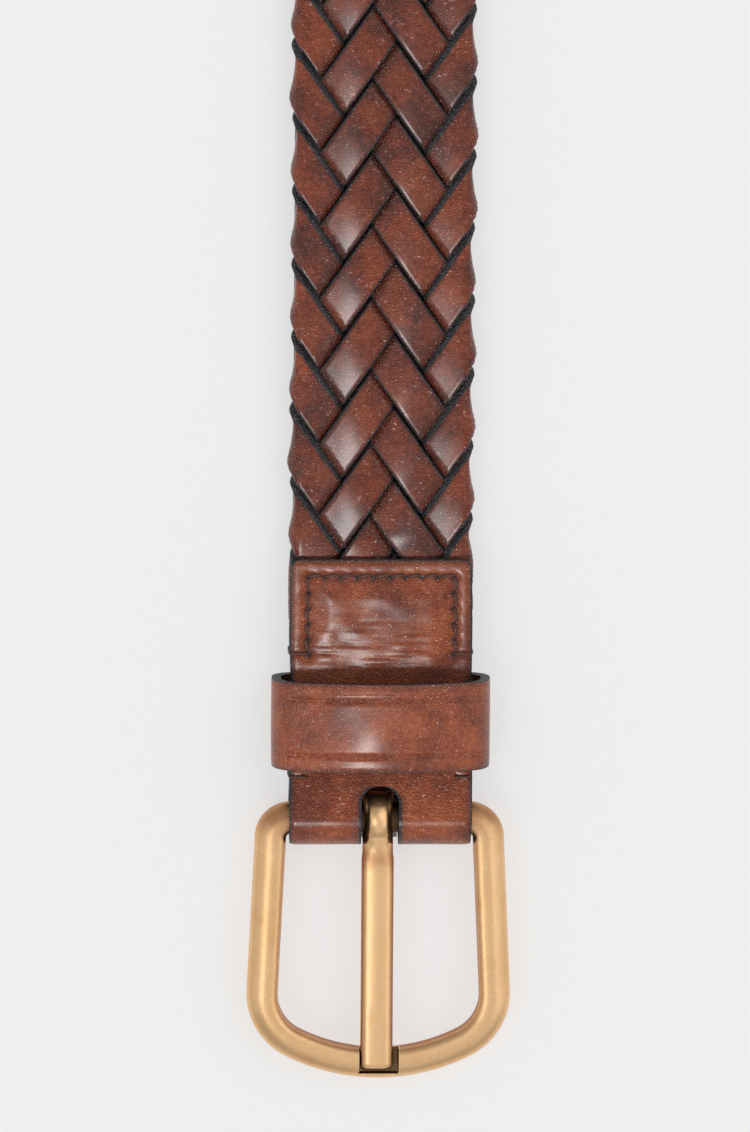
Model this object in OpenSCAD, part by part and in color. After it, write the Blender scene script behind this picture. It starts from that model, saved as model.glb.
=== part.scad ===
// A plaited leather belt: seven laces, a folded buckle tab, a keeper, a brass frame buckle with
// its prong, and a sewn tip.
// The belt lies face up along Y, with the buckle at -Y and the tip at +Y. Lengths named "from the
// bar" run along +Y from the axis of the buckle's heel bar.

/* [Belt] */
// Overall length, buckle front to tip
belt_length = 1050; // [1000:1:1100]
// Width of the buckle tab
tab_w = 35; // [34.6:0.1:35.4]
// Thickness of the tab leather
leaf_t = 1.7; // [1.6:0.05:1.75]
// Free thickness between the two leaves of the tab
leaf_gap = 3.8; // [3.8:0.05:3.9]

/* [Plait] */
// Outer width of the plait
braid_w = 35.8; // [35.4:0.1:36]
// Distance between turns along one edge
braid_pitch = 14.2; // [13.8:0.05:14.4]
// Width of one lace
lace_w = 7.3; // [6.8:0.1:7.5]
// Thickness of one lace
lace_t = 1.8; // [1.5:0.05:1.8]
// Free height between the two layers of laces
layer_gap = 0.1; // [0.08:0.01:0.12]

/* [Buckle tab] */
// Length of the tab from the bar
tab_length = 51.2; // [50:0.2:53]
// Width of the slot that the prong works in
slot_w = 7.8; // [7.6:0.1:8.4]
// Far end of the slot, from the bar
slot_end = 6.7; // [6.6:0.1:7]

/* [Buckle] */
// Width of the frame's section, seen from the front
frame_w = 6; // [5.8:0.1:6.2]
// Thickness of the frame's section
frame_t = 5.6; // [5.2:0.1:5.8]
// Radius of the heel bar
bar_r = 3; // [2.9:0.05:3.05]
// Reach of the frame in front of the bar
frame_reach = 52; // [51:0.2:53]
// Radius of the frame's front edge
front_r = 39.5; // [38.5:0.5:41]
// Outer radius of the front corners
corner_r = 14; // [13:0.5:15]
// Outer radius of the heel corners
heel_r = 7; // [6.8:0.1:7.2]
// Flare of each side towards the front, in degrees
flare = 2.7; // [2:0.1:3.2]

/* [Prong] */
// Width of the prong
prong_w = 5.8; // [5.4:0.1:6]
// Outer radius of the prong's eye
eye_r = 5; // [4.8:0.05:5]
// Reach of the prong's tip in front of the bar
prong_reach = 49.3; // [49:0.1:49.7]
// Thickness of the prong's shank
shank_t = 2.8; // [2.5:0.1:2.9]
// Sideways seat of the prong on the bar
prong_shift = -0.4; // [-0.5:0.1:0.5]

/* [Keeper] */
// Outer width of the keeper
keeper_w = 42.4; // [42:0.1:43]
// Length of the keeper along the belt
keeper_l = 17.2; // [17:0.1:17.8]
// Outer height of the keeper above its own underside
keeper_h = 13.2; // [12.8:0.1:13.6]
// Thickness of the keeper band
keeper_t = 1.8; // [1.6:0.1:1.8]
// Near edge of the keeper, from the bar
keeper_start = 10.8; // [10.7:0.1:10.9]
// Free travel of the keeper each way
keeper_play = 1.3; // [1:0.1:1.35]

/* [Tip] */
// Length of the sewn tip
tip_length = 85; // [84:0.5:90]
// Thickness of each tip leaf
tip_leaf_t = 1; // [0.9:0.05:1.1]
// Length of the rounded point
point_l = 22; // [18:1:26]

/* [Stitching] */
// Distance between stitch holes
stitch_pitch = 3.2; // [3:0.1:3.4]
// Inset of the seam from the edge
seam_inset = 3.1; // [3:0.1:3.4]
// Width of the thread
thread_w = 0.6; // [0.5:0.05:0.65]

/* [Hidden] */
$fn = 96;

leather = [0.45, 0.24, 0.17];
dark_leather = [0.25, 0.14, 0.10];
brass = [0.80, 0.62, 0.33];
thread = [0.20, 0.12, 0.09];

laces = 7;
bar_y = -belt_length / 2 + frame_reach;
fold_clearance = 0.6;
bar_z = leaf_t + fold_clearance + bar_r + 0.05;
front_leaf_z = leaf_t + leaf_gap;
tab_top = front_leaf_z + leaf_t;
cut = 1;

// ---- Helpers -------------------------------------------------------------------------------

// Points on an arc round [cx, cy], from angle a to angle b
function arc(cx, cy, r, a, b, steps = 8) =
    [for (i = [0 : steps]) let (t = a + (b - a) * i / steps) [cx + r * cos(t), cy + r * sin(t)]];

// A plan outline with both far corners rounded, from y = 0 to y = length
module rounded_end_2d(width, length, r) {
    w = width / 2;
    polygon(concat([[-w, 0], [w, 0]], arc(w - r, length - r, r, 0, 90), arc(r - w, length - r, r, 90, 180)));
}

// A shape drawn in the (along Y, up Z) plane, extruded across X
module across(width) {
    rotate([90, 0, 90]) linear_extrude(width, center = true) children();
}

// A run of sewing from the origin: two rails of thread joined by a leg in every hole between
module ladder_2d(length, stitches, bottom, top) {
    step = length / stitches;
    half = thread_w / 2;
    difference() {
        translate([0, bottom]) square([length, top - bottom]);
        for (i = [0 : stitches - 1])
            translate([i * step + half, bottom + thread_w])
                square([step - thread_w, top - bottom - 2 * thread_w]);
    }
}

module sewing_run(from, to, stitches, bottom, top) {
    d = to - from;
    translate([from[0], from[1], 0])
        rotate([0, 0, atan2(d[1], d[0]) - 90])
            across(thread_w) ladder_2d(norm(d), stitches, bottom, top);
}

// Round legs of thread where two runs meet, or the holes for them
module seam_posts(corners, r, bottom, top) {
    for (c = corners) translate([c[0], c[1], bottom]) cylinder(r = r, h = top - bottom);
}

// The room that a run of sewing takes from the leather: rail grooves on both faces and the holes
module sewing_room(from, to, stitches, bottom, top, sunk) {
    d = to - from;
    step = norm(d) / stitches;
    slack = 0.05;
    w = thread_w + 2 * slack;
    translate([from[0], from[1], 0]) rotate([0, 0, atan2(d[1], d[0]) - 90]) {
        translate([-w / 2, -w / 2, bottom - cut]) cube([w, norm(d) + w, thread_w + cut + slack]);
        translate([-w / 2, -w / 2, top - sunk]) cube([w, norm(d) + w, sunk + cut]);
        for (i = [0 : stitches])
            translate([-w / 2, i * step - w / 2, bottom - cut]) cube([w, w, top - bottom + 2 * cut]);
    }
}

// ---- Buckle --------------------------------------------------------------------------------

half_w = frame_w / 2;
front_c = front_r - half_w;
corner_c = corner_r - half_w;
heel_c = heel_r - half_w;
heel_x = tab_w / 2 - 0.3;
front_centre = -frame_reach + front_r;
// The two arcs at the front meet where their tangents agree: solve for that angle in closed form
side_x = heel_x + heel_c * cos(flare) - corner_c * cos(flare);
side_y = -heel_c + heel_c * sin(flare) - corner_c * sin(flare) - front_centre;
arc_gap = front_c - corner_c;
meet = flare + asin((side_x * cos(flare) + side_y * sin(flare)) / arc_gap);
side_length = (side_y + arc_gap * cos(meet)) / cos(flare);
side_top = [heel_x + heel_c * cos(flare), -heel_c + heel_c * sin(flare)];
side_end = side_top + side_length * [sin(flare), -cos(flare)];
corner_centre = [arc_gap * sin(meet), front_centre - arc_gap * cos(meet)];

pocket_w = 7.2;
pocket_depth = 2.4;
pocket_lip = 1.2;

// The corners are cast a touch fuller than the bars, which run a little way into them
corner_swell = 0.06;
lap = 0.5;
lap_turn = lap / front_c * 180 / PI;

// The frame's section: a rounded bar, drawn round the origin
module frame_section(swell) {
    bluntness = 2.6;
    function blunt(c) = sign(c) * pow(abs(c), 2 / bluntness);
    polygon([for (i = [0 : 23]) let (t = i * 15)
        [(half_w + swell) * blunt(cos(t)), (frame_t / 2 + swell) * blunt(sin(t))]]);
}

module frame_arc(centre, r, from, sweep, swell) {
    translate([centre[0], centre[1], 0]) rotate([0, 0, from])
        rotate_extrude(angle = sweep) translate([r, 0]) frame_section(swell);
}

module frame_half() {
    frame_arc([heel_x, -heel_c], heel_c, flare, 90 - flare, corner_swell);
    translate([side_end[0], side_end[1], 0]) rotate([0, 0, flare]) rotate([-90, 0, 0])
        translate([0, 0, -lap]) linear_extrude(side_length + 2 * lap) frame_section(0);
    frame_arc(corner_centre, corner_c, meet - 90, 90 - meet + flare, corner_swell);
}

module buckle_frame() {
    color(brass) translate([0, bar_y, bar_z]) difference() {
        union() {
            rotate([0, 90, 0]) cylinder(r = bar_r, h = 2 * heel_x, center = true);
            frame_half();
            mirror([1, 0, 0]) frame_half();
            frame_arc([0, front_centre], front_c, -90 - meet - lap_turn, 2 * (meet + lap_turn), 0);
        }
        translate([-pocket_w / 2, pocket_lip - frame_reach, frame_t / 2 - pocket_depth])
            cube([pocket_w, frame_w, pocket_depth + cut]);
    }
}

seat_gap = 0.05;
shank_under = frame_t / 2 - pocket_depth + seat_gap;
eye_clearance = 0.1;

// The prong from the side: an eye round the bar, and a level shank with a rounded nose
module prong_profile() {
    nose = 1;
    root = -3.4;
    top = shank_under + shank_t;
    polygon(concat(
        [[root, top], [root, shank_under - 0.9], [root - 5, shank_under]],
        [[-prong_reach, shank_under]],
        arc(nose - prong_reach, top - nose, nose, 180, 90)
    ));
}

module prong() {
    color(brass) translate([prong_shift, bar_y, bar_z]) difference() {
        union() {
            rotate([0, 90, 0]) cylinder(r = eye_r, h = prong_w, center = true);
            across(prong_w) prong_profile();
        }
        rotate([0, 90, 0]) cylinder(r = bar_r + eye_clearance, h = prong_w + 2 * cut, center = true);
    }
}

// ---- Buckle tab ----------------------------------------------------------------------------

seam_x = tab_w / 2 - seam_inset;
seam_top = tab_length - seam_inset;
row_stitches = 9;
side_stitches = 5;
seam_end = seam_top - side_stitches * 3.08;
lower_tack = 8.6;
thread_low = 0.06;
thread_high = tab_top + 0.3;
groove_sunk = 0.75;
slope_end = 13;
fold_r = leaf_t + fold_clearance + bar_r + 0.05;
slope_reach = [slope_end, tab_top - bar_z];
slope_touch = atan2(slope_reach[1], slope_reach[0]) + acos(fold_r / norm(slope_reach));
slope_fall = 1 / tan(slope_touch);

// Outer side profile of the folded tab, where the front leaf runs down from the bar to the level part
module tab_outside_2d() {
    polygon(concat(
        arc(0, bar_z, fold_r, slope_touch, 270, 24),
        [[tab_length, 0], [tab_length, tab_top], [slope_end, tab_top]]
    ));
}

module tab_inside_2d() {
    mouth = 1.6;
    inner = fold_r - leaf_t;
    start_z = bar_z + inner * sin(slope_touch) - (mouth - inner * cos(slope_touch)) * slope_fall;
    polygon([
        [mouth, leaf_t], [tab_length + cut, leaf_t], [tab_length + cut, front_leaf_z],
        [mouth + (start_z - front_leaf_z) / slope_fall, front_leaf_z], [mouth, start_z]
    ]);
}

module slot_2d() {
    r = 2.6;
    w = slot_w / 2;
    polygon(concat(
        [[-w, -fold_r - cut], [w, -fold_r - cut]],
        arc(w - r, slot_end - r, r, 0, 90), arc(r - w, slot_end - r, r, 90, 180)
    ));
}

// The groove that an edge tack lies in, round one side of the strap
module tack_room(at, top) {
    w = thread_w + 0.1;
    translate([seam_x - w / 2, at - w / 2, 0]) {
        translate([0, 0, top - thread_w - 0.05]) cube([tab_w, w, thread_w + cut + leaf_t]);
        translate([0, 0, -cut]) cube([tab_w, w, cut + thread_low + thread_w + 0.05]);
        cube([w, w, top + cut]);
        translate([seam_inset, 0, -cut]) cube([seam_inset, w, top + 2 * cut]);
    }
}

// One edge tack: a flat loop of thread through a hole and round the side of the strap
module tack(at, top) {
    outer = seam_inset + 0.2;
    translate([seam_x, at, 0]) rotate([90, 0, 0]) linear_extrude(thread_w, center = true)
        difference() {
            translate([-thread_w / 2, thread_low]) square([outer + thread_w, top - thread_low]);
            translate([thread_w / 2, thread_low + thread_w])
                square([outer - thread_w, top - thread_low - 2 * thread_w]);
        }
}

post_r = 0.72 * thread_w;
post_hole_r = post_r + 0.07;
post_over = 0.02;
seam_corners = [[-seam_x, seam_end], [-seam_x, seam_top], [seam_x, seam_top], [seam_x, seam_end]];
seam_counts = [side_stitches, row_stitches, side_stitches];
lower_tack_top = tab_top + (slope_end - lower_tack) * slope_fall + 0.3;

module tab_leather() {
    color(leather) translate([0, bar_y, 0]) difference() {
        intersection() {
            across(tab_w) difference() {
                tab_outside_2d();
                tab_inside_2d();
            }
            translate([0, -2 * fold_r, -cut]) linear_extrude(20)
                rounded_end_2d(tab_w, tab_length + 2 * fold_r, 2.2);
        }
        translate([0, 0, bar_z]) rotate([0, 90, 0])
            cylinder(r = bar_r + fold_clearance, h = tab_w + 2 * cut, center = true);
        translate([0, 0, -cut]) linear_extrude(20) slot_2d();
        for (i = [0 : 2])
            sewing_room(seam_corners[i], seam_corners[i + 1], seam_counts[i], thread_low, thread_high, groove_sunk);
        seam_posts(seam_corners, post_hole_r, -cut, tab_top + cut);
        for (side = [0, 1]) mirror([side, 0, 0]) {
            tack_room(seam_end, tab_top + 0.3);
            tack_room(lower_tack, lower_tack_top);
        }
    }
}

module tab_stitching() {
    color(thread) translate([0, bar_y, 0]) {
        for (i = [0 : 2])
            sewing_run(seam_corners[i], seam_corners[i + 1], seam_counts[i], thread_low, thread_high);
        seam_posts(seam_corners, post_r, thread_low - post_over, thread_high + post_over);
        for (side = [0, 1]) mirror([side, 0, 0]) tack(seam_end, thread_high);
    }
}

module tab_tacks() {
    color(thread) translate([0, bar_y, 0])
        for (side = [0, 1]) mirror([side, 0, 0]) tack(lower_tack, lower_tack_top);
}

// The filler between the leaves, channelled for the back of the keeper
core_start = 7.4;
core_end = 30.4;
channel_t = keeper_t + 0.35;

module tab_core() {
    film = 0.05;
    color(dark_leather) translate([0, bar_y, 0]) difference() {
        translate([film - tab_w / 2, core_start, leaf_t + film])
            cube([tab_w - 2 * film, core_end - core_start, leaf_gap - 2 * film]);
        translate([-tab_w, keeper_start - keeper_play - 0.1, 0])
            cube([2 * tab_w, keeper_l + 2 * keeper_play + 0.2, leaf_t + channel_t + 0.1]);
        for (side = [0, 1]) mirror([side, 0, 0]) {
            translate([seam_x - 0.35, lower_tack - 0.35, 0]) cube([0.7, 0.7, 10]);
            translate([seam_x + seam_inset - 0.35, lower_tack - 0.35, 0]) cube([2, 0.7, 10]);
        }
    }
}

// ---- Keeper --------------------------------------------------------------------------------

keeper_z = leaf_t + 0.15;
joint_w = 0.3;
tie_span = 4;
tie_count = 4;

// The keeper seen along the belt: a ring with round corners and a slight crown on its face
module keeper_ring_2d(inset) {
    w = keeper_w / 2 - inset;
    crown = 0.6;
    low = inset;
    high = keeper_h - crown - inset;
    r_top = 5 - inset;
    r_low = 4.2 - inset;
    flat = w - r_top;
    crown_r = (flat * flat + crown * crown) / (2 * crown);
    crown_a = asin(flat / crown_r);
    polygon(concat(
        arc(r_low - w, low + r_low, r_low, 180, 270),
        arc(w - r_low, low + r_low, r_low, 270, 360),
        arc(w - r_top, high - r_top, r_top, 0, 84),
        arc(0, high + crown - crown_r, crown_r, 90 - crown_a, 90 + crown_a, 12),
        arc(r_top - w, high - r_top, r_top, 96, 180)
    ));
}

module keeper_ties(w) {
    for (i = [0 : tie_count - 1])
        translate([0, keeper_start + keeper_l * (i + 0.5) / tie_count, keeper_z]) children();
}

module keeper_band() {
    color(leather) translate([0, bar_y, 0]) difference() {
        translate([0, keeper_start + keeper_l, keeper_z]) rotate([90, 0, 0])
            linear_extrude(keeper_l) difference() {
                keeper_ring_2d(0);
                keeper_ring_2d(keeper_t);
            }
        translate([-joint_w / 2, 0, 0]) cube([joint_w, 60, keeper_z + keeper_t + 0.5]);
        keeper_ties() translate([0, 0, keeper_t / 2]) {
            cube([tie_span + 0.7, 0.7, 0.9], center = true);
        }
    }
}

module keeper_thread() {
    color(thread) translate([0, bar_y, 0])
        keeper_ties() translate([0, 0, keeper_t / 2]) cube([tie_span + 0.6, thread_w, thread_w], center = true);
}

// ---- Plait ---------------------------------------------------------------------------------
// Each lace crosses the belt on a slant, turns over at the edge and comes back. Its place is kept
// as the distance travelled across the belt, measured round the turns. The laces going one way
// pass over 1, under 2, over 2 and under 1 of those going the other way.

turn_r = (lace_t + layer_gap) / 2;
flat_w = braid_w - 2 * turn_r - lace_t;
quarter = PI * turn_r / 2;
crossing = flat_w + 2 * quarter;
column = crossing / laces;
climb = braid_pitch / 2 / column;
slant = atan(1 / climb);
lace_v = lace_w / sin(slant);
skew = lace_v / climb / 4;
step_half = (column - 2 * skew) / 2;
braid_z = leaf_t + leaf_gap / 2;
// Centre of a turn on the -X edge, which sets where the pattern starts at the tab
phase_y = bar_y + 45.3;
lace_start = bar_y + 40;
lace_end = belt_length / 2 - tip_length + 9;

// Distances at which a lace changes layer, and its layer after each: 1 on top, -1 beneath
steps = [1.5, 3.5, 5.5];
function layer(l) = l < steps[0] * column ? -1 : l < steps[1] * column ? 1 : l < steps[2] * column ? -1 : 1;
function is_turn(l) = l < quarter + 0.001 || l > crossing - quarter - 0.001;
function base_stations() = concat(
    [0, quarter / 2, quarter],
    [for (s = steps) each [s * column - step_half, s * column + step_half]],
    [crossing - quarter, crossing - quarter / 2]
);

// One corner of the lace: m counts crossings, l is the distance along this one, edge is -1 at the
// lower long edge and 1 at the upper, face is 1 or -1 for the lace's two faces
function lace_point(k, m, l, edge, face) =
    let (
        here = is_turn(l) ? l : l - edge * skew,
        y = phase_y + ((m * crossing + here) - 2 * column * k) * climb + edge * lace_v / 2,
        way = m % 2 == 0 ? 1 : -1,
        up = face * way,
        bend = here < quarter ? (quarter - here) / turn_r : max(0, (here - crossing + quarter) / turn_r),
        side = here < crossing / 2 ? -way : way,
        level = is_turn(l) ? (here < crossing / 2 ? -1 : 1) : layer(l),
        r = turn_r + level * up * lace_t / 2,
        turned = bend * 180 / PI,
        flat_x = way * (here - crossing / 2)
    )
    is_turn(l)
        ? [side * (flat_w / 2 + r * sin(turned)), y, braid_z + level * r * cos(turned)]
        : [flat_x, y, braid_z + level * turn_r + up * lace_t / 2];

// Keeps the cut ends of a lace clear of the turns
function clear_of_turn(l) = min(max(l, quarter + skew + 0.2), crossing - quarter - skew - 0.2);

function lace_stations(k) =
    let (
        from = (lace_start - phase_y) / climb + 2 * column * k,
        to = (lace_end - phase_y) / climb + 2 * column * k,
        m0 = floor(from / crossing),
        m1 = floor(to / crossing),
        l0 = clear_of_turn(from - m0 * crossing),
        l1 = clear_of_turn(to - m1 * crossing)
    )
    concat(
        [[m0, l0]],
        [for (m = [m0 : m1]) for (l = base_stations())
            if ((m > m0 || l > l0 + 0.4) && (m < m1 || l < l1 - 0.4)) [m, l]],
        [[m1, l1]]
    );

module lace(k) {
    rings = lace_stations(k);
    n = len(rings);
    corners = [[-1, 1], [-1, -1], [1, -1], [1, 1]];
    points = [for (r = rings) for (c = corners) lace_point(k, r[0], r[1], c[0], c[1])];
    walls = [for (i = [0 : n - 2]) for (j = [0 : 3])
        [4 * i + j, 4 * i + (j + 1) % 4, 4 * (i + 1) + (j + 1) % 4, 4 * (i + 1) + j]];
    color(leather) polyhedron(points, concat([[3, 2, 1, 0]], walls, [[for (j = [0 : 3]) 4 * (n - 1) + j]]));
}

// ---- Tip -----------------------------------------------------------------------------------

tip_y = belt_length / 2 - tip_length;
tip_w = tab_w - 0.4;
tip_low = leaf_t - tip_leaf_t;
tip_top = front_leaf_z + tip_leaf_t;
tip_thread_low = tip_low + 0.06;
tip_thread_high = tip_top + 0.3;
tip_groove = 0.7;
point_power = 1.7;
tip_core_start = 18.6;
tip_row = 9;
tip_side = 18;
tip_bend = 6;

// Half width of a point of the given width and length, a share t of the way along it
function point_x(w, t) = w * pow(1 - pow(t, point_power), 1 / point_power);

module tip_2d(from) {
    straight = tip_length - point_l;
    w = tip_w / 2;
    r = 2;
    steps = 20;
    right = [for (i = [0 : steps - 1]) let (t = sin(90 * i / steps)) [point_x(w, t), straight + point_l * t]];
    corners = from > 0 ? [[-w, from], [w, from]]
        : concat(arc(r - w, r, r, 180, 270, 6), arc(w - r, r, r, 270, 360, 6));
    polygon(concat(corners, right, [[0, tip_length]], [for (i = [steps - 1 : -1 : 0]) [-right[i][0], right[i][1]]]));
}

// Corners of the tip's seam: along one side, round the point in short chords, and back
tip_seam_w = tip_w / 2 - seam_inset;
tip_seam_l = point_l - seam_inset;
tip_bends = [for (i = [0 : tip_bend]) let (t = sin(90 * i / tip_bend))
    [point_x(tip_seam_w, t), tip_length - point_l + tip_seam_l * t]];
tip_path = concat(
    tip_bends,
    [for (i = [tip_bend - 1 : -1 : 0]) [-tip_bends[i][0], tip_bends[i][1]]]
);

tip_corners = concat(tip_path, [[-tip_seam_w, seam_inset], [tip_seam_w, seam_inset]]);

module on_tip_seam() {
    for (side = [-1, 1]) {
        $from = [side * tip_seam_w, seam_inset];
        $to = [side * tip_seam_w, tip_length - point_l];
        $count = tip_side;
        children();
    }
    for (i = [0 : len(tip_path) - 2]) {
        $from = tip_path[i];
        $to = tip_path[i + 1];
        $count = max(1, round(norm($to - $from) / stitch_pitch));
        children();
    }
    $from = [-tip_seam_w, seam_inset];
    $to = [tip_seam_w, seam_inset];
    $count = tip_row;
    children();
}

module tip_leaf(z) {
    color(leather) translate([0, tip_y, 0]) difference() {
        translate([0, 0, z]) linear_extrude(tip_leaf_t) tip_2d(0);
        on_tip_seam() sewing_room($from, $to, $count, tip_thread_low, tip_thread_high, tip_groove);
        seam_posts(tip_corners, post_hole_r, -cut, tip_top + cut);
    }
}

module tip_front() {
    tip_leaf(front_leaf_z);
}

module tip_back() {
    tip_leaf(tip_low);
}

module tip_core() {
    film = 0.05;
    color(dark_leather) translate([0, tip_y, 0]) difference() {
        translate([0, 0, leaf_t + film]) linear_extrude(leaf_gap - 2 * film) tip_2d(tip_core_start);
        on_tip_seam() sewing_room($from, $to, $count, tip_thread_low - 5, tip_thread_high + 5, 0);
        seam_posts(tip_corners, post_hole_r, 0, tip_top + cut);
    }
}

module tip_stitching() {
    color(thread) translate([0, tip_y, 0]) {
        on_tip_seam() sewing_run($from, $to, $count, tip_thread_low, tip_thread_high);
        seam_posts(tip_corners, post_r, tip_thread_low - post_over, tip_thread_high + post_over);
    }
}

// ---- Nodes ---------------------------------------------------------------------------------

buckle_frame();
prong();
tab_leather();
tab_core();
tab_stitching();
tab_tacks();
keeper_band();
keeper_thread();
lace(0);  // lace_1
lace(1);  // lace_2
lace(2);  // lace_3
lace(3);  // lace_4
lace(4);  // lace_5
lace(5);  // lace_6
lace(6);  // lace_7
tip_front();
tip_back();
tip_core();
tip_stitching();
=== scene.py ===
"""A plaited leather belt with a brass buckle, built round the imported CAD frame.

Shapes are worked out in millimetres in the frame's own axes (+Y from the buckle to the tip, +Z up out of
the belt's face) and written to meshes in metres.
"""

import math

import bpy
import numpy as np
from mathutils import Matrix, Vector


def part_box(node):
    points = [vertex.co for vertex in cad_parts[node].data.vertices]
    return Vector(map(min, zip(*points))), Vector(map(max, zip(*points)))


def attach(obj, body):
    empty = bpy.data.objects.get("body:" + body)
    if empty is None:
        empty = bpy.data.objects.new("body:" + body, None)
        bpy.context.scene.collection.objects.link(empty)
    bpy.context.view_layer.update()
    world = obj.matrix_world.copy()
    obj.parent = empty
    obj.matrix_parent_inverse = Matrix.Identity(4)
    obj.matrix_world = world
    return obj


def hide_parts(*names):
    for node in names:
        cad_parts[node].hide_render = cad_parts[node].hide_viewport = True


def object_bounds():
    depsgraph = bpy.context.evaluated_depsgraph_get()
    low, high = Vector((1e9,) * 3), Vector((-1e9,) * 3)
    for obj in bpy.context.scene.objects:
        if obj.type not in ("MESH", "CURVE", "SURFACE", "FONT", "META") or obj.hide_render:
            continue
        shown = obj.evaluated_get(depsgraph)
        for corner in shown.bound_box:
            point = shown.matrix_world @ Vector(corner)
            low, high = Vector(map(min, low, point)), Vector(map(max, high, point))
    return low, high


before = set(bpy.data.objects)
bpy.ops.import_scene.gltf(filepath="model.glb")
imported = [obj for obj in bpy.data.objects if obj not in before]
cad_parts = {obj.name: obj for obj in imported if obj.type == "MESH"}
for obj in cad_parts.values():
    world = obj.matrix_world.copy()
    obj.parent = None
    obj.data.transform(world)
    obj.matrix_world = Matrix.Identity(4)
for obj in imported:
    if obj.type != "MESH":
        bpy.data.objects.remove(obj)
cad_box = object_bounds()

MM = 0.001


def box_mm(node):
    """Lowest and highest corner of a CAD node, in millimetres."""
    low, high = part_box(node)
    return np.array(low) / MM, np.array(high) / MM


# ---- Small mathematics -----------------------------------------------------------------------


def smooth(x, a, b):
    """0 below a, 1 above b, with a smooth ramp between (a may be above b)."""
    t = np.clip((np.asarray(x, float) - a) / (b - a), 0, 1)
    return t * t * (3 - 2 * t)


def bump(x, centre, width):
    """A smooth bell of height 1."""
    return np.exp(-(((np.asarray(x, float) - centre) / width) ** 2))


def value_noise(x, seed, octaves=1):
    """Smooth one-dimensional noise between -1 and 1."""
    table = np.random.default_rng(seed).uniform(-1, 1, 512)
    x = np.asarray(x, float)
    total = np.zeros_like(x)
    scale, size = 1.0, 0.0
    for _ in range(octaves):
        i = np.floor(x).astype(int)
        f = x - i
        f = f * f * (3 - 2 * f)
        total += scale * (table[i % 512] * (1 - f) + table[(i + 1) % 512] * f)
        size += scale
        x, scale = x * 2.03 + 11.7, scale * 0.5
    return total / size


def noise_2d(x, y, seed):
    """Smooth two-dimensional noise between -1 and 1."""
    table = np.random.default_rng(seed).uniform(-1, 1, (64, 64))
    x, y = np.asarray(x, float), np.asarray(y, float)
    i, j = np.floor(x).astype(int), np.floor(y).astype(int)
    f, g = x - i, y - j
    f, g = f * f * (3 - 2 * f), g * g * (3 - 2 * g)
    a, b = table[i % 64, j % 64], table[(i + 1) % 64, j % 64]
    c, d = table[i % 64, (j + 1) % 64], table[(i + 1) % 64, (j + 1) % 64]
    return (a * (1 - f) + b * f) * (1 - g) + (c * (1 - f) + d * f) * g


def run_along(points):
    """Distance along a chain of points, 0 at the first."""
    return np.concatenate([[0], np.cumsum(np.linalg.norm(np.diff(points, axis=0), axis=1))])


def normals(tangent):
    """Unit normals of a path in a plane, a quarter turn clockwise from its tangents."""
    tangent = tangent / np.hypot(*tangent.T)[:, None]
    return np.stack([tangent[:, 1], -tangent[:, 0]], -1)


# ---- Mesh building ---------------------------------------------------------------------------


def make_object(name, verts, faces, materials):
    mesh = bpy.data.meshes.new(name)
    mesh.from_pydata((np.asarray(verts, float) * MM).tolist(), [], faces)
    mesh.update()
    mesh.shade_smooth()
    obj = bpy.data.objects.new(name, mesh)
    bpy.context.scene.collection.objects.link(obj)
    for material in materials:
        mesh.materials.append(material)
    return obj


def add_attribute(obj, name, values):
    """One number a vertex, for the materials."""
    layer = obj.data.attributes.new(name, "FLOAT", "POINT")
    layer.data.foreach_set("value", np.asarray(values, np.float32).ravel())


def tube_faces(rings, sides, close_along=False):
    """Quads of a tube of the given rings, each a closed loop of sides points, and its two end caps."""
    i = np.arange(rings if close_along else rings - 1)[:, None]
    j = np.arange(sides)[None, :]
    a = i * sides + j
    b = i * sides + (j + 1) % sides
    c = ((i + 1) % rings) * sides + (j + 1) % sides
    d = ((i + 1) % rings) * sides + j
    faces = np.stack([a, b, c, d], axis=-1).reshape(-1, 4).tolist()
    if not close_along:
        faces.append(list(range(sides))[::-1])
        faces.append([(rings - 1) * sides + k for k in range(sides)])
    return faces


# ---- Materials -------------------------------------------------------------------------------


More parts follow.
